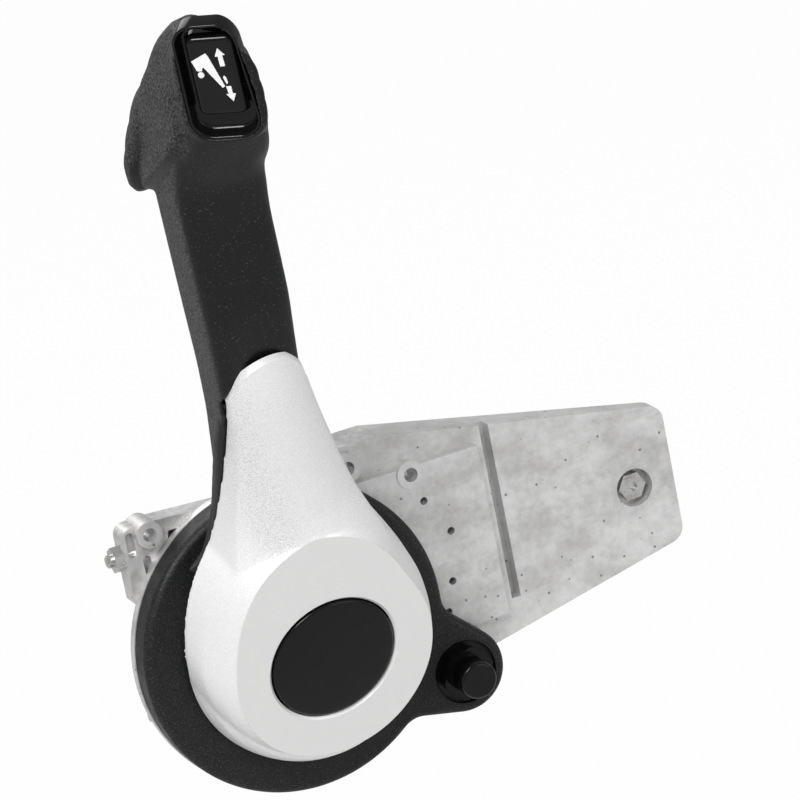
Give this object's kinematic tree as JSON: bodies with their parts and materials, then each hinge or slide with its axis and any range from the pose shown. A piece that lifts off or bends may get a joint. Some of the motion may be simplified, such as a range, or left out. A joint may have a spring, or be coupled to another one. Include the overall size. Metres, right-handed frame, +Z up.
{
  "type": "boat throttle control lever",
  "caption": "Side-mount boat control: single lever with trim switch on a round bezel, cast aluminium housing behind with gear-driven shift and throttle arms.",
  "frame": {"origin": "on the hub axis, in the plane where the casting seats against the back of the panel", "axes": "+X aft, towards the cable end; +Y into the panel; +Z up"},
  "size_m": [0.1828, 0.1625, 0.2679],
  "materials": {
    "cast_aluminium": "raw die casting, mottled",
    "black_bezel": "satin, fine grain",
    "silver_paint": "satin silver with fine flake",
    "black_arm": "satin black",
    "grip_rubber": "leather grain",
    "gloss_black": "gloss",
    "black_plastic": "matt",
    "steel": "zinc plated",
    "bronze": "turned bronze"
  },
  "bodies": {
    "housing": {"front_housing": "cast_aluminium", "rear_cover": "cast_aluminium", "rear_cover_screws": "steel", "front_bush": "bronze", "rear_bush": "bronze", "pivot_bushes": "bronze", "bezel": "black_bezel", "bezel_screws": "steel", "stop_switch_body": "gloss_black", "stop_switch_nut": "gloss_black", "stop_switch_washer": "steel", "adjuster_stud": "steel", "adjuster_nut": "steel", "low_set_screw": "steel", "lock_plate": "steel", "lock_plate_screws": "steel", "detent_block": "steel", "detent_block_screws": "steel", "detent_plunger": "steel", "detent_spring": "steel", "start_switch": "black_plastic", "cable_anchor": "cast_aluminium", "anchor_clamp": "steel", "anchor_bolt": "steel", "anchor_nut": "steel"},
    "lever": {"lever_arm": "black_arm", "hub_cover": "silver_paint", "hub_cover_screws": "steel", "lever_grip": "grip_rubber", "trim_frame": "gloss_black", "trim_switch_body": "black_plastic", "hub_shaft": "steel", "drive_gear": "steel", "gear_key": "steel", "shaft_ring": "steel", "detent_wheel": "steel"},
    "shift_linkage": {"shift_sector": "steel", "shift_shaft": "steel", "shift_arm": "steel", "shift_cable_pin": "steel", "shift_ring": "steel"},
    "throttle_linkage": {"throttle_sector": "steel", "throttle_shaft": "steel", "throttle_arm": "steel", "throttle_cable_pin": "steel", "throttle_ring": "steel"},
    "throttle_button": {"throttle_only_button": "gloss_black"},
    "push_rod": {"declutch_rod": "steel"},
    "trim_switch": {"trim_rocker": "gloss_black"},
    "release": {"neutral_release": "black_plastic", "release_rod": "steel"},
    "lanyard_plunger": {"stop_plunger": "gloss_black"}
  },
  "joints": [
    {"name": "lever_swing", "type": "hinge", "parent": "housing", "child": "lever", "pos_m": [0, 0, 0], "axis": [0, -1, 0], "range_deg": [-50, 70]},
    {"name": "shift_swing", "type": "hinge", "parent": "housing", "child": "shift_linkage", "pos_m": [0.03383, 0, 0.01231], "axis": [0, -1, 0], "range_deg": [-35.1, 25.1]},
    {"name": "throttle_swing", "type": "hinge", "parent": "housing", "child": "throttle_linkage", "pos_m": [0.00625, 0, 0.03545], "axis": [0, -1, 0], "range_deg": [-35.1, 25.1]},
    {"name": "throttle_only_press", "type": "slide", "parent": "lever", "child": "throttle_button", "axis": [-0.0393, 0.9511, 0.3065], "range_m": [0, 0.003], "stiffness_N_per_m": 800, "springref_m": -0.004},
    {"name": "declutch_push", "type": "slide", "parent": "lever", "child": "push_rod", "axis": [0, 1, 0], "range_m": [0, 0.00286]},
    {"name": "trim_rock", "type": "hinge", "parent": "lever", "child": "trim_switch", "pos_m": [-0.02303, -0.11619, 0.20236], "axis": [0.835, -0.5455, -0.0717], "range_deg": [-8, 8], "stiffness_Nm_per_rad": 0.3},
    {"name": "neutral_release_lift", "type": "slide", "parent": "lever", "child": "release", "axis": [-0.1208, -0.309, 0.9433], "range_m": [0, 0.004], "stiffness_N_per_m": 600, "springref_m": -0.004},
    {"name": "lanyard_plunger_push", "type": "slide", "parent": "housing", "child": "lanyard_plunger", "axis": [0, 1, 0], "range_m": [0, 0.003], "stiffness_N_per_m": 600, "springref_m": -0.003}
  ],
  "couplings": [
    {"joint": "shift_swing", "follows": "lever_swing", "ratio": -0.5},
    {"joint": "throttle_swing", "follows": "lever_swing", "ratio": -0.5},
    {"joint": "declutch_push", "follows": "throttle_only_press", "ratio": 0.95106}
  ]
}
